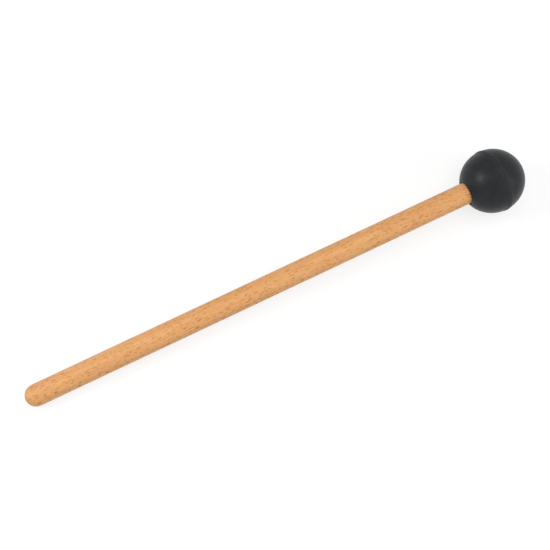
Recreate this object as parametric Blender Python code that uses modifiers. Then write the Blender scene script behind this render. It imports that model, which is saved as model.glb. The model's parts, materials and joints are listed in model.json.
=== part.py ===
"""Singing bowl mallet: a beech dowel glued into the blind socket of a moulded rubber ball.

Metres, +Z up. The mallet lies at rest on the plane z = 0, on its ball and its butt, with the butt towards -X
and the ball towards +X. The origin is under the middle of its bounding box.
"""

import math

import bpy
from mathutils import Matrix, Vector

# Dowel
DOWEL_DIAMETER = 0.012
DOWEL_LENGTH = 0.280
DOWEL_END_CHAMFER = 0.0008

# Ball
BALL_DIAMETER = 0.035
CROWN_WALL = 0.012
PARTING_RIDGE_HEIGHT = 0.00033
PARTING_RIDGE_WIDTH = 0.0023
BALL_LEAN = math.radians(5.1)
BALL_LEAN_TURN = math.radians(30.5)

# Socket and glue
SOCKET_CORNER = 0.0012
LIP_LENGTH = 0.0015
MOUTH_ROUNDING = 0.0006
GLUE_THICKNESS = 0.0003
CLEARANCE = 0.0003

# Fineness of the round surfaces
BALL_STEPS = 64
BALL_RINGS = 11
DOWEL_STEPS = 48
DOME_RINGS = 10
ROUNDING_RINGS = 5
RIDGE_RINGS = 4
RIDGE_REACH = 2.0
MERGE_DISTANCE = 0.00001
SMOOTH_UP_TO = math.radians(30)
CUTTER_OVERRUN = 0.003

# Sizes that follow from those above
dowel_radius = DOWEL_DIAMETER / 2
ball_radius = BALL_DIAMETER / 2
lip_radius = dowel_radius + CLEARANCE
glue_radius = lip_radius + GLUE_THICKNESS
socket_radius = glue_radius + CLEARANCE

# Heights along the shaft, from the ball's centre, positive towards the striking side
socket_floor = ball_radius - CROWN_WALL
glue_top = socket_floor - CLEARANCE
dowel_top = glue_top - GLUE_THICKNESS - CLEARANCE
butt_tip = dowel_top - DOWEL_LENGTH
dome_centre = butt_tip + dowel_radius
mouth_centre_radius = lip_radius + MOUTH_ROUNDING
mouth_centre = -math.sqrt((ball_radius - MOUTH_ROUNDING) ** 2 - mouth_centre_radius ** 2)
shoulder_bottom = mouth_centre + LIP_LENGTH
shoulder_top = shoulder_bottom + socket_radius - lip_radius
glue_bottom = shoulder_top + CLEARANCE

# The mallet lies on the ridge of its ball and on the dome of its butt
ball_height = ball_radius + PARTING_RIDGE_HEIGHT
slant = math.asin((ball_height - dowel_radius) / -dome_centre)
lying_length = -dome_centre * math.cos(slant) + dowel_radius + ball_radius
ball_centre = Vector((lying_length / 2 - ball_radius, 0, ball_height))


def arc(centre, radius, start, end, steps):
    """Points on an arc in the profile plane, as (distance from the axis, height), with both its ends."""
    angles = [start + (end - start) * i / steps for i in range(steps + 1)]
    return [(centre[0] + radius * math.cos(a), centre[1] + radius * math.sin(a)) for a in angles]


def make_collection(name):
    collection = bpy.data.collections.new(name)
    bpy.context.scene.collection.children.link(collection)
    return collection


def make_material(name, colour, roughness):
    material = bpy.data.materials.new(name)
    material.use_nodes = True
    shader = material.node_tree.nodes["Principled BSDF"]
    shader.inputs["Base Color"].default_value = (*colour, 1)
    shader.inputs["Roughness"].default_value = roughness
    shader.inputs["Metallic"].default_value = 0
    return material


def turned(name, profile, steps, collection, parent):
    """A solid turned about its own Z axis. The profile runs down its outer side, from the top to the bottom.

    It starts half a step round, so that a flat of the round surface faces the ground and not an edge.
    """
    mesh = bpy.data.meshes.new(name)
    half_step = math.pi / steps
    points = [(radius * math.cos(half_step), radius * math.sin(half_step), height) for radius, height in profile]
    edges = [(i, i + 1) for i in range(len(points) - 1)]
    mesh.from_pydata(points, edges, [])
    piece = bpy.data.objects.new(name, mesh)
    collection.objects.link(piece)
    piece.parent = parent
    screw = piece.modifiers.new("turn", "SCREW")
    screw.axis = "Z"
    screw.angle = 2 * math.pi
    screw.steps = steps
    screw.render_steps = steps
    screw.use_merge_vertices = True
    screw.merge_threshold = MERGE_DISTANCE
    return piece


def finish(piece, material):
    """Applies the modifiers, shades the round faces smooth and gives the piece its material."""
    drawn = piece.data
    evaluated = piece.evaluated_get(bpy.context.evaluated_depsgraph_get())
    piece.data = bpy.data.meshes.new_from_object(evaluated)
    piece.data.name = piece.name
    piece.modifiers.clear()
    bpy.data.meshes.remove(drawn)
    piece.data.shade_smooth()
    piece.data.set_sharp_from_angle(angle=SMOOTH_UP_TO)
    piece.data.materials.clear()
    piece.data.materials.append(material)


def shaft_profile():
    """The dowel from its chamfered flat end in the ball down to the half-round butt."""
    top = [
        (0, dowel_top),
        (dowel_radius - DOWEL_END_CHAMFER, dowel_top),
        (dowel_radius, dowel_top - DOWEL_END_CHAMFER),
    ]
    butt = arc((0, dome_centre), dowel_radius, 0, -math.pi / 2, DOME_RINGS)
    butt[-1] = (0, butt_tip)
    return top + butt


def ball_profile():
    """A half circle about the mould's own axis, with the parting ridge swelling out of its equator."""
    spread = PARTING_RIDGE_WIDTH / (2 * math.sqrt(math.log(2)))
    ridge_angle = RIDGE_REACH * spread / ball_radius
    cap = [ridge_angle + (math.pi / 2 - ridge_angle) * i / BALL_RINGS for i in range(1, BALL_RINGS + 1)]
    ridge = [ridge_angle * i / RIDGE_RINGS for i in range(RIDGE_RINGS + 1)]
    upper = ridge + cap
    angles = upper[:0:-1] + [-a for a in upper]
    points = []
    for angle in angles:
        swell = PARTING_RIDGE_HEIGHT * math.exp(-((angle * ball_radius / spread) ** 2))
        radius = ball_radius + swell
        points.append((radius * math.cos(angle), radius * math.sin(angle)))
    points[0] = (0, ball_radius)
    points[-1] = (0, -ball_radius)
    return points


def socket_profile():
    """The hollow in the ball: rounded floor, straight wall, narrower lip and rounded mouth, run on past the ball."""
    corner = arc((socket_radius - SOCKET_CORNER, socket_floor - SOCKET_CORNER), SOCKET_CORNER,
                 math.pi / 2, 0, ROUNDING_RINGS)
    lip = [(socket_radius, shoulder_top), (lip_radius, shoulder_bottom)]
    end = 2 * math.pi + math.atan2(mouth_centre, mouth_centre_radius)
    mouth = arc((mouth_centre_radius, mouth_centre), MOUTH_ROUNDING, math.pi, end, ROUNDING_RINGS)
    outside = -ball_radius - CUTTER_OVERRUN
    return [(0, socket_floor)] + corner + lip + mouth + [(mouth[-1][0], outside), (0, outside)]


def glue_profile():
    """A cup of glue round the dowel's end, closed over it and open towards the mouth."""
    corner_radius = SOCKET_CORNER - CLEARANCE
    corner = arc((glue_radius - corner_radius, glue_top - corner_radius), corner_radius,
                 math.pi / 2, 0, ROUNDING_RINGS)
    inside = [
        (glue_radius, glue_bottom),
        (lip_radius, glue_bottom),
        (lip_radius, dowel_top - DOWEL_END_CHAMFER + CLEARANCE),
        (lip_radius - DOWEL_END_CHAMFER, dowel_top + CLEARANCE),
        (0, dowel_top + CLEARANCE),
    ]
    return [(0, glue_top)] + corner + inside


def lay_down(parent):
    """Stands the shaft's frame over the ground, leaning so that ball and butt both touch it."""
    parent.matrix_world = Matrix.Translation(ball_centre) @ Matrix.Rotation(math.pi / 2 - slant, 4, "Y")


def lean():
    """Turns the ball off square to the shaft: the turn is round the shaft, from straight down towards +Y."""
    axis = Vector((-math.sin(BALL_LEAN_TURN), math.cos(BALL_LEAN_TURN), 0))
    return Matrix.Rotation(BALL_LEAN, 4, axis)


def build():
    for old in list(bpy.data.objects):
        bpy.data.objects.remove(old)
    parts = make_collection("singing_bowl_mallet")
    cutters = make_collection("cutters")
    beech = make_material("beech", (0.72, 0.44, 0.20), 0.55)
    rubber = make_material("black_rubber", (0.022, 0.025, 0.028), 0.62)
    glue = make_material("cured_glue", (0.42, 0.27, 0.10), 0.35)

    frame = bpy.data.objects.new("shaft_frame", None)
    parts.objects.link(frame)
    lay_down(frame)

    shaft = turned("beech_shaft", shaft_profile(), DOWEL_STEPS, parts, frame)
    finish(shaft, beech)

    film = turned("glue_film", glue_profile(), DOWEL_STEPS, parts, frame)
    finish(film, glue)

    socket = turned("socket_cutter", socket_profile(), DOWEL_STEPS, cutters, frame)
    socket.hide_render = True
    socket.display_type = "WIRE"

    ball = turned("rubber_ball", ball_profile(), BALL_STEPS, parts, frame)
    ball.matrix_local = lean()
    cut = ball.modifiers.new("socket", "BOOLEAN")
    cut.operation = "DIFFERENCE"
    cut.object = socket
    finish(ball, rubber)


build()
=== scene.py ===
"""Singing bowl mallet: the looks of a sanded beech dowel glued into a moulded rubber ball.

Metres, +Z up. The mallet lies on the ground with its butt towards -X and its ball towards +X.
"""

import json
import math

import bpy
from mathutils import Euler, Matrix, Vector


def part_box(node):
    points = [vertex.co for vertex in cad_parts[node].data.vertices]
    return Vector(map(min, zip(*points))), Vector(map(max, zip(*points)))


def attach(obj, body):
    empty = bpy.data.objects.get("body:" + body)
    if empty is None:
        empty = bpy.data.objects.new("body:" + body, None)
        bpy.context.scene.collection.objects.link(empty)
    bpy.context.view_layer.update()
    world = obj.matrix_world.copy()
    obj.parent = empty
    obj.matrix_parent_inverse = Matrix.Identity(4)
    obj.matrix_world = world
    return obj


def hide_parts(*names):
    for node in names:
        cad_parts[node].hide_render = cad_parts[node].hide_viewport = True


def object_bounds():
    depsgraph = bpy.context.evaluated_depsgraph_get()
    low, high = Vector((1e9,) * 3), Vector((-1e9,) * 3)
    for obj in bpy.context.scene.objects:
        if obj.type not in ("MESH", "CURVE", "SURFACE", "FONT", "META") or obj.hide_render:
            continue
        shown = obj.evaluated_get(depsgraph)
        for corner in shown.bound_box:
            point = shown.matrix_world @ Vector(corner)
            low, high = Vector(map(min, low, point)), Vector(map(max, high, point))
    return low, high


MM = 0.001

# Dowel and ball, as the part has them
SHAFT_DIAMETER = 12 * MM
BALL_DIAMETER = 35 * MM
CROWN_WALL = 12 * MM
END_CHAMFER = 0.8 * MM
BALL_LEAN = math.radians(5.1)
BALL_LEAN_TURN = math.radians(30.5)
SOCKET_CORNER = 1.2 * MM
LIP_LENGTH = 1.5 * MM
MOUTH_ROUNDING = 0.6 * MM
GLUE_THICKNESS = 0.3 * MM
CLEARANCE = 0.3 * MM

# Parting line of the ball: a swollen band, a trimmed groove on its crest and a fainter one beside it
RIDGE_HEIGHT = 0.33 * MM
RIDGE_WIDTH = 2.3 * MM
RIDGE_REACH = 4.0 * MM
GROOVE_DEPTH = 0.16 * MM
GROOVE_WIDTH = 0.42 * MM
SIDE_GROOVE_OFFSET = 1.6 * MM
SIDE_GROOVE_DEPTH = 0.07 * MM
SIDE_GROOVE_WIDTH = 0.4 * MM

# Fineness of the meshes
SHAFT_SIDES = 96
SHAFT_RING_STEP = 4 * MM
DOME_RINGS = 24
SOCKET_SIDES = 96
ROUNDING_RINGS = 8
BALL_SIDES = 224
BALL_ARC_POINTS = 200
SEAM_CUTS = 3
MERGE_DISTANCE = 0.001 * MM
SMOOTH_UP_TO = math.radians(35)

# Camera, with the ball's centre as it sees it
CAMERA_ELEVATION = math.radians(74.33)
CAMERA_TURN = math.radians(-25.34)
CAMERA_LENS = 57.1
BALL_IN_VIEW = Vector((0.1184, 0.0513, -0.4762))

# Studio: the floor takes shadow within the first distance of its patch, and none past the second
FLOOR_SIZE = 6.0
FLOOR_PATCH = (0.35, 1.1)
FLOOR_WHITE = 1.04
FLOOR_SHADOW = 0.30
FLOOR_BOUNCE = 0.65
WORLD_FILL = 0.36

# Soft boxes: direction and distance from the ball, width, power, and whether a gloss shows them
LAMPS = {
    "key_softbox": ((-0.758, 0.304, 0.578), 0.80, 0.30, 1.75, True),
    "side_softbox": ((0.538, -0.662, 0.523), 0.80, 0.40, 1.35, True),
    "ceiling_softbox": ((-0.10, -0.14, 0.98), 1.10, 1.00, 5.2, False),
}


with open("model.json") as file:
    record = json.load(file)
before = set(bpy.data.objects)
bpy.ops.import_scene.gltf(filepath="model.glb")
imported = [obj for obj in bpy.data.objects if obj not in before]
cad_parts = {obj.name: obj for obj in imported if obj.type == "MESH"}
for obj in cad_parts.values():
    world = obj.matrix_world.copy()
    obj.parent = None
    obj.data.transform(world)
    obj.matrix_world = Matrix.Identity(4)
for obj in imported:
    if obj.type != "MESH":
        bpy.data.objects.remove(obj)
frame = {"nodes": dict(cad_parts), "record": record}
cad_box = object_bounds()

shaft_radius = SHAFT_DIAMETER / 2
ball_radius = BALL_DIAMETER / 2
lip_radius = shaft_radius + CLEARANCE
socket_radius = lip_radius + GLUE_THICKNESS + CLEARANCE

# Heights along the shaft from the ball's centre, positive towards the striking side
socket_floor = ball_radius - CROWN_WALL
shaft_top = socket_floor - 2 * CLEARANCE - GLUE_THICKNESS
mouth_radius = lip_radius + MOUTH_ROUNDING
mouth_height = -math.sqrt((ball_radius - MOUTH_ROUNDING) ** 2 - mouth_radius ** 2)
shoulder_bottom = mouth_height + LIP_LENGTH
shoulder_top = shoulder_bottom + socket_radius - lip_radius

# The shaft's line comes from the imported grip, and the ball's centre is where it reaches the ball's height
grip = frame["record"]["mounts"][0]
shaft_axis = Vector(grip["axis"]).normalized()
ball_height = ball_radius + RIDGE_HEIGHT
ball_centre = Vector(grip["pos_m"]) + shaft_axis * ((ball_height - grip["pos_m"][2]) / shaft_axis.z)
slant = math.asin(shaft_axis.z)
butt_reach = (ball_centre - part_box("beech_shaft")[0]).x
dome_height = -(butt_reach - shaft_radius) / math.cos(slant)
shaft_frame = Matrix.Translation(ball_centre) @ Matrix.Rotation(math.pi / 2 - slant, 4, "Y")
mould_lean = Matrix.Rotation(BALL_LEAN, 4, (-math.sin(BALL_LEAN_TURN), math.cos(BALL_LEAN_TURN), 0))
mould_frame = shaft_frame @ mould_lean


def linear(red, green, blue):
    """A colour written in screen values from 0 to 255, as the shaders want it."""
    values = [c / 255 for c in (red, green, blue)]
    return (*[c / 12.92 if c <= 0.04045 else ((c + 0.055) / 1.055) ** 2.4 for c in values], 1)


# Modelling tools

def arc(centre_radius, centre_height, radius, start, end, steps):
    """Stations on an arc as (distance from the axis, height), with both its ends."""
    angles = [start + (end - start) * i / steps for i in range(steps + 1)]
    return [(centre_radius + radius * math.cos(a), centre_height + radius * math.sin(a)) for a in angles]


def make_active(piece):
    bpy.ops.object.select_all(action="DESELECT")
    piece.select_set(True)
    bpy.context.view_layer.objects.active = piece


def start_editing(piece):
    make_active(piece)
    bpy.ops.object.mode_set(mode="EDIT")


def edit_points(piece, chosen):
    """Opens a piece for editing with only the points chosen by their place selected."""
    start_editing(piece)
    bpy.ops.mesh.select_mode(type="VERT")
    bpy.ops.mesh.select_all(action="DESELECT")
    bpy.ops.object.mode_set(mode="OBJECT")
    for vertex in piece.data.vertices:
        vertex.select = chosen(vertex.co)
    bpy.ops.object.mode_set(mode="EDIT")


def tidy_surface():
    """Closes the seams and poles and turns the faces outwards, in edit mode."""
    bpy.ops.mesh.select_all(action="SELECT")
    bpy.ops.mesh.remove_doubles(threshold=MERGE_DISTANCE)
    bpy.ops.mesh.normals_make_consistent(inside=False)
    bpy.ops.object.mode_set(mode="OBJECT")


def turned(name, stations, sides):
    """A solid drawn out ring by ring along the Z axis through stations of (radius, height)."""
    radius, height = stations[0]
    bpy.ops.object.select_all(action="DESELECT")
    bpy.ops.mesh.primitive_circle_add(vertices=sides, radius=radius, fill_type="NGON",
                                      location=(0, 0, height))
    piece = bpy.context.object
    piece.name = name
    piece.data.name = name
    bpy.ops.object.transform_apply(location=True, rotation=True, scale=True)
    start_editing(piece)
    bpy.ops.mesh.select_all(action="SELECT")
    for next_radius, next_height in stations[1:]:
        bpy.ops.mesh.extrude_region_move(TRANSFORM_OT_translate={"value": (0, 0, next_height - height)})
        if next_radius == 0:
            bpy.ops.mesh.merge(type="CENTER")
        elif next_radius != radius:
            grow = next_radius / radius
            bpy.ops.transform.resize(value=(grow, grow, 1), center_override=(0, 0, next_height))
        radius, height = next_radius, next_height
    tidy_surface()
    return piece


def place(piece, matrix):
    """Puts a piece where it belongs and moves that place into its mesh."""
    piece.matrix_world = matrix @ piece.matrix_world
    make_active(piece)
    bpy.ops.object.transform_apply(location=True, rotation=True, scale=True)


def apply_modifier(piece, modifier):
    bpy.context.view_layer.objects.active = piece
    bpy.ops.object.modifier_apply(modifier=modifier.name)


def smooth(piece):
    make_active(piece)
    bpy.ops.object.shade_smooth_by_angle(angle=SMOOTH_UP_TO)


def dress(piece, node, material):
    """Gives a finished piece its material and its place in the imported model."""
    piece.data.materials.clear()
    piece.data.materials.append(material)
    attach(piece, "root")
    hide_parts(node)


# Pieces

def model_shaft():
    """The dowel, from its chamfered end in the ball to its half-round butt."""
    chamfer = [(shaft_radius - END_CHAMFER, shaft_top), (shaft_radius, shaft_top - END_CHAMFER)]
    straight = shaft_top - END_CHAMFER - dome_height
    count = round(straight / SHAFT_RING_STEP)
    rings = [(shaft_radius, shaft_top - END_CHAMFER - straight * i / count) for i in range(1, count)]
    butt = arc(0, dome_height, shaft_radius, 0, -math.pi / 2, DOME_RINGS)
    butt[-1] = (0, dome_height - shaft_radius)
    shaft = turned("sanded_shaft", chamfer + rings + butt, SHAFT_SIDES)
    place(shaft, shaft_frame)
    smooth(shaft)
    return shaft


def seam_radius(height):
    """How far the ball's skin stands from its centre, by the height over the parting plane."""
    spread = RIDGE_WIDTH / (2 * math.sqrt(math.log(2)))
    ridge = RIDGE_HEIGHT * math.exp(-((height / spread) ** 2))
    groove = GROOVE_DEPTH * math.exp(-((2 * height / GROOVE_WIDTH) ** 2))
    side = SIDE_GROOVE_DEPTH * math.exp(-((2 * (height - SIDE_GROOVE_OFFSET) / SIDE_GROOVE_WIDTH) ** 2))
    return ball_radius + ridge - groove - side


def model_socket_cutter():
    """The hollow in the ball, run on past its mouth."""
    corner = arc(socket_radius - SOCKET_CORNER, socket_floor - SOCKET_CORNER, SOCKET_CORNER,
                 math.pi / 2, 0, ROUNDING_RINGS)
    lip = [(socket_radius, shoulder_top), (lip_radius, shoulder_bottom)]
    mouth_end = 2 * math.pi + math.atan2(mouth_height, mouth_radius)
    mouth = arc(mouth_radius, mouth_height, MOUTH_ROUNDING, math.pi, mouth_end, ROUNDING_RINGS)
    stations = corner + lip + mouth + [(mouth[-1][0], -ball_radius - LIP_LENGTH)]
    return turned("socket_cutter", stations, SOCKET_SIDES)


def model_ball():
    """The ball, spun round the mould's own axis from a half circle, with its parting line and its socket."""
    bpy.ops.object.select_all(action="DESELECT")
    bpy.ops.mesh.primitive_circle_add(vertices=2 * BALL_ARC_POINTS, radius=ball_radius,
                                      rotation=(math.pi / 2, 0, 0))
    ball = bpy.context.object
    ball.name = "moulded_ball"
    ball.data.name = "moulded_ball"
    bpy.ops.object.transform_apply(location=True, rotation=True, scale=True)
    edit_points(ball, lambda point: point.x < -MERGE_DISTANCE)
    bpy.ops.mesh.delete(type="VERT")
    bpy.ops.object.mode_set(mode="OBJECT")
    edit_points(ball, lambda point: abs(point.z) < RIDGE_REACH)
    bpy.ops.mesh.subdivide(number_cuts=SEAM_CUTS)
    bpy.ops.object.mode_set(mode="OBJECT")
    heights = [vertex.co.z for vertex in ball.data.vertices if abs(vertex.co.z) < RIDGE_REACH]
    for height in heights:
        edit_points(ball, lambda point: abs(point.z - height) < MERGE_DISTANCE)
        swell = seam_radius(height) / ball_radius
        bpy.ops.transform.resize(value=(swell, swell, swell), center_override=(0, 0, 0))
        bpy.ops.object.mode_set(mode="OBJECT")
    start_editing(ball)
    bpy.ops.mesh.select_all(action="SELECT")
    bpy.ops.mesh.spin(steps=BALL_SIDES, angle=2 * math.pi, center=(0, 0, 0), axis=(0, 0, 1))
    tidy_surface()
    place(ball, mould_lean)
    cutter = model_socket_cutter()
    cut = ball.modifiers.new("socket", "BOOLEAN")
    cut.operation = "DIFFERENCE"
    cut.object = cutter
    apply_modifier(ball, cut)
    bpy.data.objects.remove(cutter)
    place(ball, shaft_frame)
    smooth(ball)
    return ball


# Shader tools

def add(tree, kind, inputs=None, **settings):
    """A shader node with its settings, and its inputs set to values or linked to sockets."""
    made = tree.nodes.new(kind)
    for name, value in settings.items():
        setattr(made, name, value)
    for name, value in (inputs or {}).items():
        if isinstance(value, bpy.types.NodeSocket):
            tree.links.new(value, made.inputs[name])
        else:
            made.inputs[name].default_value = value
    return made


def calc(tree, operation, *values):
    """The result of a Math node."""
    return add(tree, "ShaderNodeMath", dict(enumerate(values)), operation=operation).outputs[0]


def vector_calc(tree, operation, *values):
    """The result of a Vector Math node."""
    return add(tree, "ShaderNodeVectorMath", dict(enumerate(values)), operation=operation).outputs[0]


def blend(tree, factor, first, second):
    """Two colours mixed by a factor."""
    return add(tree, "ShaderNodeMix", {0: factor, 6: first, 7: second}, data_type="RGBA").outputs[2]


def ease(tree, value, low, high, out_low=0.0, out_high=1.0):
    """A value carried smoothly from one range to another."""
    inputs = {"Value": value, "From Min": low, "From Max": high, "To Min": out_low, "To Max": out_high}
    return add(tree, "ShaderNodeMapRange", inputs, interpolation_type="SMOOTHSTEP").outputs[0]


def noise(tree, vector, scale, detail=2.0, rough=0.5):
    """A noise value from 0 to 1, mostly near the middle."""
    inputs = {"Vector": vector, "Scale": scale, "Detail": detail, "Roughness": rough}
    return add(tree, "ShaderNodeTexNoise", inputs).outputs[0]


def make_group(name, inputs, outputs):
    """An empty shader group with its sockets, and its two end nodes."""
    group = bpy.data.node_groups.new(name, "ShaderNodeTree")
    for label, kind, value in inputs:
        socket = group.interface.new_socket(label, in_out="INPUT", socket_type=kind)
        if value is not None:
            socket.default_value = value
    for label, kind in outputs:
        group.interface.new_socket(label, in_out="OUTPUT", socket_type=kind)
    return group, group.nodes.new("NodeGroupInput"), group.nodes.new("NodeGroupOutput")


def use(tree, group, inputs):
    """A shader group placed in a tree."""
    return add(tree, "ShaderNodeGroup", inputs, node_tree=group)


def make_mottle_group():
    """Soft patches of two sizes, stretched as asked, centred on 0.5."""
    inputs = [
        ("Vector", "NodeSocketVector", None),
        ("Patch Size", "NodeSocketFloat", 5.0),
        ("Fine Size", "NodeSocketFloat", 1.0),
        ("Fine Share", "NodeSocketFloat", 0.3),
    ]
    group, start, end = make_group("soft mottle", inputs, [("Mask", "NodeSocketFloat")])
    broad = noise(group, start.outputs["Vector"], calc(group, "DIVIDE", 1.0, start.outputs["Patch Size"]))
    fine = noise(group, start.outputs["Vector"], calc(group, "DIVIDE", 1.0, start.outputs["Fine Size"]))
    share = start.outputs["Fine Share"]
    mixed = calc(group, "ADD", calc(group, "MULTIPLY", broad, calc(group, "SUBTRACT", 1.0, share)),
                 calc(group, "MULTIPLY", fine, share))
    group.links.new(ease(group, mixed, 0.3, 0.7), end.inputs["Mask"])
    return group


def make_streak_group():
    """Fine streaks that run along the first axis of the vector: wood fibres, or scuffs from trimming."""
    inputs = [
        ("Vector", "NodeSocketVector", None),
        ("Length", "NodeSocketFloat", 15.0),
        ("Width", "NodeSocketFloat", 0.2),
    ]
    group, start, end = make_group("fine streaks", inputs, [("Mask", "NodeSocketFloat")])
    size = add(group, "ShaderNodeCombineXYZ", {
        "X": start.outputs["Length"], "Y": start.outputs["Width"], "Z": start.outputs["Width"]})
    stretched = vector_calc(group, "DIVIDE", start.outputs["Vector"], size.outputs[0])
    group.links.new(ease(group, noise(group, stretched, 1.0, detail=3.0), 0.3, 0.7), end.inputs["Mask"])
    return group


def make_speck_group():
    """Sparse small round specks, such as pores or lint."""
    inputs = [
        ("Vector", "NodeSocketVector", None),
        ("Spacing", "NodeSocketFloat", 3.0),
        ("Size", "NodeSocketFloat", 0.1),
        ("Amount", "NodeSocketFloat", 0.5),
    ]
    group, start, end = make_group("specks", inputs, [("Mask", "NodeSocketFloat")])
    cells = add(group, "ShaderNodeTexVoronoi", {
        "Vector": start.outputs["Vector"],
        "Scale": calc(group, "DIVIDE", 1.0, start.outputs["Spacing"])})
    chance = add(group, "ShaderNodeSeparateColor", {"Color": cells.outputs["Color"]})
    reach = calc(group, "MULTIPLY", cells.outputs["Distance"], start.outputs["Spacing"])
    grown = calc(group, "MULTIPLY", start.outputs["Size"], calc(group, "ADD", 0.4, chance.outputs[1]))
    dot = ease(group, calc(group, "DIVIDE", reach, grown), 0.5, 1.0, 1.0, 0.0)
    kept = calc(group, "LESS_THAN", chance.outputs[0], start.outputs["Amount"])
    group.links.new(calc(group, "MULTIPLY", dot, kept), end.inputs["Mask"])
    return group


def make_fleck_group():
    """Lens-shaped ray flecks, at most one in each brick of a wall, on a vector in millimetres."""
    inputs = [
        ("Vector", "NodeSocketVector", None),
        ("Brick Length", "NodeSocketFloat", 5.0),
        ("Brick Width", "NodeSocketFloat", 1.0),
        ("Length", "NodeSocketFloat", 3.0),
        ("Width", "NodeSocketFloat", 0.4),
        ("Amount", "NodeSocketFloat", 0.7),
        ("Seed", "NodeSocketFloat", 0.0),
    ]
    group, start, end = make_group("ray flecks", inputs, [("Mask", "NodeSocketFloat")])
    brick_length, brick_width = start.outputs["Brick Length"], start.outputs["Brick Width"]
    apart = add(group, "ShaderNodeSeparateXYZ", {0: start.outputs["Vector"]})
    rows = calc(group, "DIVIDE", apart.outputs[1], brick_width)
    row = calc(group, "FLOOR", rows)
    row_key = add(group, "ShaderNodeCombineXYZ", {"X": row, "Z": start.outputs["Seed"]}).outputs[0]
    shift = add(group, "ShaderNodeTexWhiteNoise", {"Vector": row_key}).outputs[0]
    columns = calc(group, "ADD", calc(group, "DIVIDE", apart.outputs[0], brick_length), shift)
    column = calc(group, "FLOOR", columns)
    key = add(group, "ShaderNodeCombineXYZ", {"X": row, "Y": column, "Z": start.outputs["Seed"]}).outputs[0]
    first = add(group, "ShaderNodeTexWhiteNoise", {"Vector": key})
    other_key = vector_calc(group, "ADD", key, (0.5, 0.5, 0.5))
    second = add(group, "ShaderNodeTexWhiteNoise", {"Vector": other_key})
    size_draw, along_draw, across_draw = add(group, "ShaderNodeSeparateColor", {0: first.outputs[1]}).outputs
    keep_draw, depth_draw, tilt_draw = add(group, "ShaderNodeSeparateColor", {0: second.outputs[1]}).outputs

    length_share = calc(group, "MULTIPLY_ADD", size_draw, 0.3, 0.2)
    width_share = calc(group, "MULTIPLY_ADD", depth_draw, 0.2, 0.3)
    half_length = calc(group, "MULTIPLY", start.outputs["Length"], length_share)
    half_width = calc(group, "MULTIPLY", start.outputs["Width"], width_share)
    room_along = calc(group, "SUBTRACT", brick_length, calc(group, "MULTIPLY", half_length, 2.0))
    room_across = calc(group, "SUBTRACT", brick_width, calc(group, "MULTIPLY", half_width, 2.0))
    middle_x = calc(group, "MULTIPLY_ADD", room_along, along_draw, half_length)
    middle_y = calc(group, "MULTIPLY_ADD", room_across, across_draw, half_width)
    brick_x = calc(group, "MULTIPLY", calc(group, "FRACT", columns), brick_length)
    brick_y = calc(group, "MULTIPLY", calc(group, "FRACT", rows), brick_width)
    tilt = calc(group, "MULTIPLY_ADD", tilt_draw, 0.10, -0.05)
    off_x = calc(group, "SUBTRACT", brick_x, middle_x)
    off_y = calc(group, "MULTIPLY_ADD", off_x, tilt, calc(group, "SUBTRACT", brick_y, middle_y))
    run = calc(group, "POWER", calc(group, "ABSOLUTE", calc(group, "DIVIDE", off_x, half_length)), 2.0)
    spread = calc(group, "ABSOLUTE", calc(group, "DIVIDE", off_y, half_width))
    lens = ease(group, calc(group, "ADD", run, spread), 0.45, 1.0, 1.0, 0.0)
    kept = calc(group, "LESS_THAN", keep_draw, start.outputs["Amount"])
    strength = calc(group, "MULTIPLY", kept, calc(group, "MULTIPLY_ADD", depth_draw, 0.5, 0.5))
    group.links.new(calc(group, "MULTIPLY", lens, strength), end.inputs["Mask"])
    return group


def new_material(name):
    material = bpy.data.materials.new(name)
    material.use_nodes = True
    tree = material.node_tree
    return material, tree, tree.nodes["Principled BSDF"]


def local_millimetres(tree, centre, turn):
    """The piece's own coordinates in millimetres, from a centre and along turned axes."""
    spot = add(tree, "ShaderNodeTexCoord").outputs["Object"]
    inputs = {"Vector": spot, "Location": centre, "Rotation": turn, "Scale": (MM, MM, MM)}
    return add(tree, "ShaderNodeMapping", inputs, vector_type="TEXTURE").outputs[0]


# Materials

# Beech: how far its grain is turned round the shaft, and the pith's place and ring spacing in millimetres
GRAIN_TURN = math.radians(12)
PITH_DEPTH = 46.0
PITH_SIDE = 9.0
RING_SPACING = 2.6
BEECH_PALE = linear(238, 184, 118)
BEECH_WARM = linear(231, 168, 104)
BEECH_PINK = linear(236, 172, 122)
BEECH_RING = linear(214, 150, 86)
BEECH_RAY = linear(176, 104, 44)
BEECH_FIBRE = linear(205, 142, 80)
BEECH_END = linear(206, 143, 84)

# Ray flecks in layers: brick length and width, longest fleck, widest fleck, share of bricks filled, darkness
RAY_LAYERS = (
    (4.2, 1.15, 3.4, 0.62, 0.55, 0.85),
    (5.6, 1.45, 4.4, 0.55, 0.45, 0.80),
    (3.0, 0.75, 2.4, 0.40, 0.50, 0.50),
    (11.0, 2.3, 9.0, 0.50, 0.35, 0.75),
    (2.2, 0.50, 1.6, 0.26, 0.55, 0.35),
)


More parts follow.
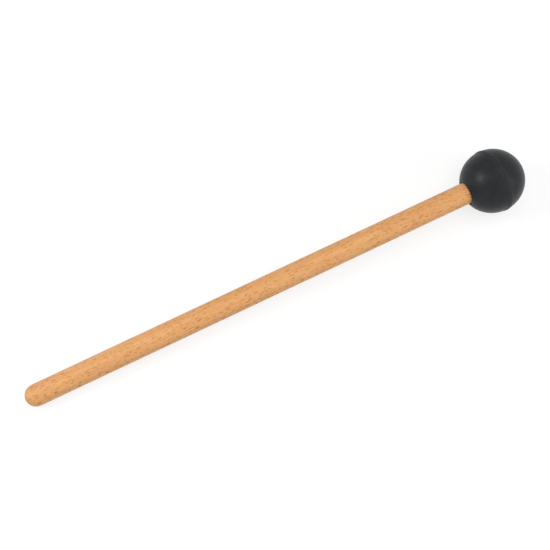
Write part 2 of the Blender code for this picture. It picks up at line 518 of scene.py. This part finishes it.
def make_beech(mottle, streaks, specks, flecks):
    """Sanded beech: growth rings, ray flecks, fibres and pores run through the wood as in a real dowel."""
    material, tree, shader = new_material("beech")
    spot = local_millimetres(tree, ball_centre, Euler((GRAIN_TURN, -slant, 0)))
    apart = add(tree, "ShaderNodeSeparateXYZ", {0: spot})
    along, side, depth = apart.outputs
    drift = add(tree, "ShaderNodeCombineXYZ", {"X": calc(tree, "MULTIPLY", along, 0.012)}).outputs[0]
    wander = calc(tree, "MULTIPLY", calc(tree, "SUBTRACT", noise(tree, drift, 1.0), 0.5), 9.0)
    from_pith = calc(tree, "ADD", depth, PITH_DEPTH)
    off_side = calc(tree, "ADD", calc(tree, "ADD", side, wander), PITH_SIDE)
    angle = calc(tree, "ARCTAN2", off_side, from_pith)
    ring_radius = calc(tree, "SQRT", calc(tree, "ADD", calc(tree, "POWER", from_pith, 2.0),
                                          calc(tree, "POWER", off_side, 2.0)))
    around = calc(tree, "MULTIPLY", angle, PITH_DEPTH + 4.0)
    grain = add(tree, "ShaderNodeCombineXYZ", {"X": along, "Y": around, "Z": ring_radius}).outputs[0]

    patches = use(tree, mottle, {
        "Vector": vector_calc(tree, "DIVIDE", grain, (3.0, 1.0, 1.0)),
        "Patch Size": 4.5, "Fine Size": 1.2, "Fine Share": 0.35}).outputs[0]
    aside = vector_calc(tree, "ADD", vector_calc(tree, "DIVIDE", grain, (2.0, 1.0, 1.0)), (31.0, 7.0, 3.0))
    blush = use(tree, mottle, {
        "Vector": aside, "Patch Size": 6.0, "Fine Size": 2.0, "Fine Share": 0.3}).outputs[0]
    colour = blend(tree, patches, BEECH_PALE, BEECH_WARM)
    colour = blend(tree, calc(tree, "MULTIPLY", blush, 0.55), colour, BEECH_PINK)

    unrest = noise(tree, vector_calc(tree, "DIVIDE", grain, (60.0, 9.0, 9.0)), 1.0)
    wobble = calc(tree, "MULTIPLY", unrest, 3.0)
    phase = calc(tree, "FRACT", calc(tree, "DIVIDE", calc(tree, "ADD", ring_radius, wobble), RING_SPACING))
    late = calc(tree, "MULTIPLY", ease(tree, phase, 0.35, 0.92), ease(tree, phase, 0.94, 1.0, 1.0, 0.0))
    colour = blend(tree, calc(tree, "MULTIPLY", late, 0.34), colour, BEECH_RING)

    fibres = use(tree, streaks, {"Vector": grain, "Length": 9.0, "Width": 0.28}).outputs[0]
    broad_fibres = use(tree, streaks, {"Vector": grain, "Length": 40.0, "Width": 1.1}).outputs[0]
    colour = blend(tree, calc(tree, "MULTIPLY", fibres, 0.22), colour, BEECH_FIBRE)
    colour = blend(tree, calc(tree, "MULTIPLY", broad_fibres, 0.20), colour, BEECH_FIBRE)

    # The crowding averages one half, so twice the share keeps each layer's own mean
    crowd = noise(tree, vector_calc(tree, "DIVIDE", grain, (30.0, 8.0, 8.0)), 1.0)
    rays = 0.0
    for seed, (brick_length, brick_width, length, width, amount, depth) in enumerate(RAY_LAYERS):
        layer = use(tree, flecks, {
            "Vector": grain,
            "Brick Length": brick_length,
            "Brick Width": brick_width,
            "Length": length,
            "Width": width,
            "Amount": calc(tree, "MULTIPLY", crowd, amount * 2),
            "Seed": 3.0 * seed,
        }).outputs[0]
        rays = calc(tree, "MAXIMUM", rays, calc(tree, "MULTIPLY", layer, depth))
    colour = blend(tree, rays, colour, BEECH_RAY)

    pores = use(tree, specks, {
        "Vector": vector_calc(tree, "DIVIDE", grain, (6.0, 1.0, 1.0)),
        "Spacing": 0.35, "Size": 0.09, "Amount": 0.7}).outputs[0]
    colour = blend(tree, calc(tree, "MULTIPLY", pores, 0.25), colour, BEECH_RAY)

    to_butt = calc(tree, "DIVIDE", calc(tree, "SUBTRACT", dome_height / MM, along), shaft_radius / MM)
    end_grain = calc(tree, "POWER", calc(tree, "MAXIMUM", calc(tree, "MINIMUM", to_butt, 1.0), 0.0), 2.0)
    colour = blend(tree, calc(tree, "MULTIPLY", end_grain, 0.6), colour, BEECH_END)
    tree.links.new(colour, shader.inputs["Base Color"])

    gloss = calc(tree, "MULTIPLY_ADD", patches, 0.10, 0.40)
    gloss = calc(tree, "MULTIPLY_ADD", fibres, 0.06, gloss)
    gloss = calc(tree, "MULTIPLY_ADD", end_grain, 0.12, gloss)
    tree.links.new(gloss, shader.inputs["Roughness"])

    relief = calc(tree, "MULTIPLY", fibres, -0.35)
    relief = calc(tree, "MULTIPLY_ADD", rays, -0.6, relief)
    relief = calc(tree, "MULTIPLY_ADD", pores, -1.0, relief)
    bump = add(tree, "ShaderNodeBump", {"Height": relief, "Strength": 0.5, "Distance": 0.03 * MM})
    tree.links.new(bump.outputs[0], shader.inputs["Normal"])
    return material


# Rubber: its colours, its gloss, and how far the scuffs reach from the parting line in millimetres
RUBBER_BLACK = linear(19, 22, 25)
RUBBER_GREY = linear(29, 32, 35)
RUBBER_BLOOM = linear(56, 59, 62)
RUBBER_SPECULAR = 0.22
SEAM_BAND = 3.2


def make_rubber(mottle, streaks, specks):
    """Black moulded rubber: faint bloom, a fine mould skin and a dulled, scuffed parting line."""
    material, tree, shader = new_material("black_rubber")
    turn = (mould_frame.to_3x3() @ Matrix.Rotation(math.pi / 2, 3, "Y")).to_euler()
    spot = local_millimetres(tree, ball_centre, turn)
    apart = add(tree, "ShaderNodeSeparateXYZ", {0: spot})
    from_seam = calc(tree, "ABSOLUTE", apart.outputs[0])
    wavy = calc(tree, "MULTIPLY_ADD", noise(tree, spot, 0.4), 1.4, from_seam)
    band = ease(tree, wavy, SEAM_BAND / 2, SEAM_BAND, 1.0, 0.0)

    patches = use(tree, mottle, {
        "Vector": spot, "Patch Size": 5.0, "Fine Size": 1.4, "Fine Share": 0.4}).outputs[0]
    colour = blend(tree, patches, RUBBER_BLACK, RUBBER_GREY)
    bloom = use(tree, mottle, {
        "Vector": vector_calc(tree, "ADD", spot, (17.0, 5.0, 9.0)),
        "Patch Size": 9.0, "Fine Size": 0.8, "Fine Share": 0.35}).outputs[0]
    colour = blend(tree, calc(tree, "MULTIPLY", calc(tree, "POWER", bloom, 2.0), 0.25), colour, RUBBER_BLOOM)

    turned_spot = vector_calc(tree, "MULTIPLY", add(tree, "ShaderNodeCombineXYZ", {
        "X": apart.outputs[1], "Y": apart.outputs[0], "Z": apart.outputs[2]}).outputs[0], (1.0, 1.0, 0.02))
    scuffs = use(tree, streaks, {"Vector": turned_spot, "Length": 9.0, "Width": 0.16}).outputs[0]
    scuffed = calc(tree, "MULTIPLY", scuffs, band)
    colour = blend(tree, calc(tree, "MULTIPLY", scuffed, 0.35), colour, RUBBER_BLOOM)

    lint = use(tree, specks, {"Vector": spot, "Spacing": 3.4, "Size": 0.14, "Amount": 0.35}).outputs[0]
    colour = blend(tree, calc(tree, "MULTIPLY", lint, 0.35), colour, RUBBER_BLOOM)
    tree.links.new(colour, shader.inputs["Base Color"])

    gloss = calc(tree, "MULTIPLY_ADD", patches, 0.06, 0.36)
    gloss = calc(tree, "MULTIPLY_ADD", band, 0.10, gloss)
    tree.links.new(gloss, shader.inputs["Roughness"])
    shader.inputs["Specular IOR Level"].default_value = RUBBER_SPECULAR

    skin = noise(tree, spot, 3.2, detail=3.0, rough=0.6)
    relief = calc(tree, "MULTIPLY_ADD", noise(tree, spot, 0.8), 1.4, calc(tree, "MULTIPLY", skin, 0.6))
    relief = calc(tree, "MULTIPLY_ADD", scuffed, 0.8, relief)
    bump = add(tree, "ShaderNodeBump", {"Height": relief, "Strength": 0.5, "Distance": 0.03 * MM})
    tree.links.new(bump.outputs[0], shader.inputs["Normal"])
    return material


GLUE_AMBER = linear(150, 108, 52)
GLUE_DARK = linear(98, 62, 24)


def make_glue(mottle):
    """Cured amber glue, cloudy and slightly uneven."""
    material, tree, shader = new_material("cured_glue")
    spot = local_millimetres(tree, ball_centre, Euler((0, -slant, 0)))
    clouds = use(tree, mottle, {
        "Vector": spot, "Patch Size": 2.5, "Fine Size": 0.6, "Fine Share": 0.4}).outputs[0]
    tree.links.new(blend(tree, clouds, GLUE_AMBER, GLUE_DARK), shader.inputs["Base Color"])
    tree.links.new(calc(tree, "MULTIPLY_ADD", clouds, 0.15, 0.22), shader.inputs["Roughness"])
    bump = add(tree, "ShaderNodeBump", {"Height": clouds, "Strength": 0.4, "Distance": 0.05 * MM})
    tree.links.new(bump.outputs[0], shader.inputs["Normal"])
    return material


# Studio

def seen_directly(tree):
    """1 for what the eye sees straight on or in a gloss, 0 for light on its way to a surface."""
    path = add(tree, "ShaderNodeLightPath")
    seen = calc(tree, "MAXIMUM", path.outputs["Is Camera Ray"], path.outputs["Is Glossy Ray"])
    return calc(tree, "MAXIMUM", seen, path.outputs["Is Transmission Ray"])


def make_floor():
    """A pale floor that shows white and keeps a soft shadow."""
    bpy.ops.object.select_all(action="DESELECT")
    bpy.ops.mesh.primitive_plane_add(size=FLOOR_SIZE, location=(0, 0, cad_box[0].z))
    floor = bpy.context.object
    floor.name = "floor"
    material, tree, shader = new_material("pale_floor")
    tree.nodes.remove(shader)
    spot = add(tree, "ShaderNodeTexCoord").outputs["Object"]
    away = add(tree, "ShaderNodeVectorMath", {0: spot}, operation="LENGTH").outputs["Value"]
    share = ease(tree, away, *FLOOR_PATCH, FLOOR_SHADOW, 0.0)
    lit = add(tree, "ShaderNodeBsdfDiffuse", {"Color": share})
    glow = add(tree, "ShaderNodeEmission", {"Strength": calc(tree, "SUBTRACT", FLOOR_WHITE, share)})
    shown = add(tree, "ShaderNodeAddShader", {0: lit.outputs[0], 1: glow.outputs[0]})
    bounce = add(tree, "ShaderNodeBsdfDiffuse", {"Color": (FLOOR_BOUNCE,) * 3 + (1,)})
    seen = seen_directly(tree)
    mixed = add(tree, "ShaderNodeMixShader", {0: seen, 1: bounce.outputs[0], 2: shown.outputs[0]})
    tree.links.new(mixed.outputs[0], tree.nodes["Material Output"].inputs["Surface"])
    floor.data.materials.append(material)


def make_world():
    """White where it is seen, and a soft even fill for the rest."""
    world = bpy.data.worlds.new("white_studio")
    bpy.context.scene.world = world
    world.use_nodes = True
    tree = world.node_tree
    strength = calc(tree, "MULTIPLY_ADD", seen_directly(tree), 1.0 - WORLD_FILL, WORLD_FILL)
    background = tree.nodes["Background"]
    background.inputs["Color"].default_value = (1, 1, 1, 1)
    tree.links.new(strength, background.inputs["Strength"])


def make_lamp(name, way, distance, width, power, in_gloss):
    """A round soft box, set by its direction and distance from the ball."""
    lamp = bpy.data.lights.new(name, "AREA")
    lamp.shape = "DISK"
    lamp.size = width
    lamp.energy = power
    holder = bpy.data.objects.new(name, lamp)
    bpy.context.scene.collection.objects.link(holder)
    away = Vector(way).normalized()
    holder.location = ball_centre + away * distance
    holder.rotation_euler = away.to_track_quat("Z", "Y").to_euler()
    holder.visible_camera = False
    holder.visible_glossy = in_gloss


def make_camera():
    """The photograph's view, placed so that the ball's centre is where it is seen."""
    camera = bpy.data.cameras.new("camera")
    camera.lens = CAMERA_LENS
    holder = bpy.data.objects.new("camera", camera)
    bpy.context.scene.collection.objects.link(holder)
    holder.rotation_euler = (math.pi / 2 - CAMERA_ELEVATION, 0, CAMERA_TURN)
    holder.location = ball_centre - holder.rotation_euler.to_matrix() @ BALL_IN_VIEW
    camera.clip_start = 0.01
    bpy.context.scene.camera = holder


mottle_group = make_mottle_group()
streak_group = make_streak_group()
speck_group = make_speck_group()
fleck_group = make_fleck_group()

dress(model_shaft(), "beech_shaft", make_beech(mottle_group, streak_group, speck_group, fleck_group))
dress(model_ball(), "rubber_ball", make_rubber(mottle_group, streak_group, speck_group))
frame["nodes"]["glue_film"].material_slots[0].material = make_glue(mottle_group)

make_floor()
make_world()
for lamp_name, lamp_settings in LAMPS.items():
    make_lamp(lamp_name, *lamp_settings)
make_camera()
bpy.context.scene.view_settings.view_transform = "Standard"
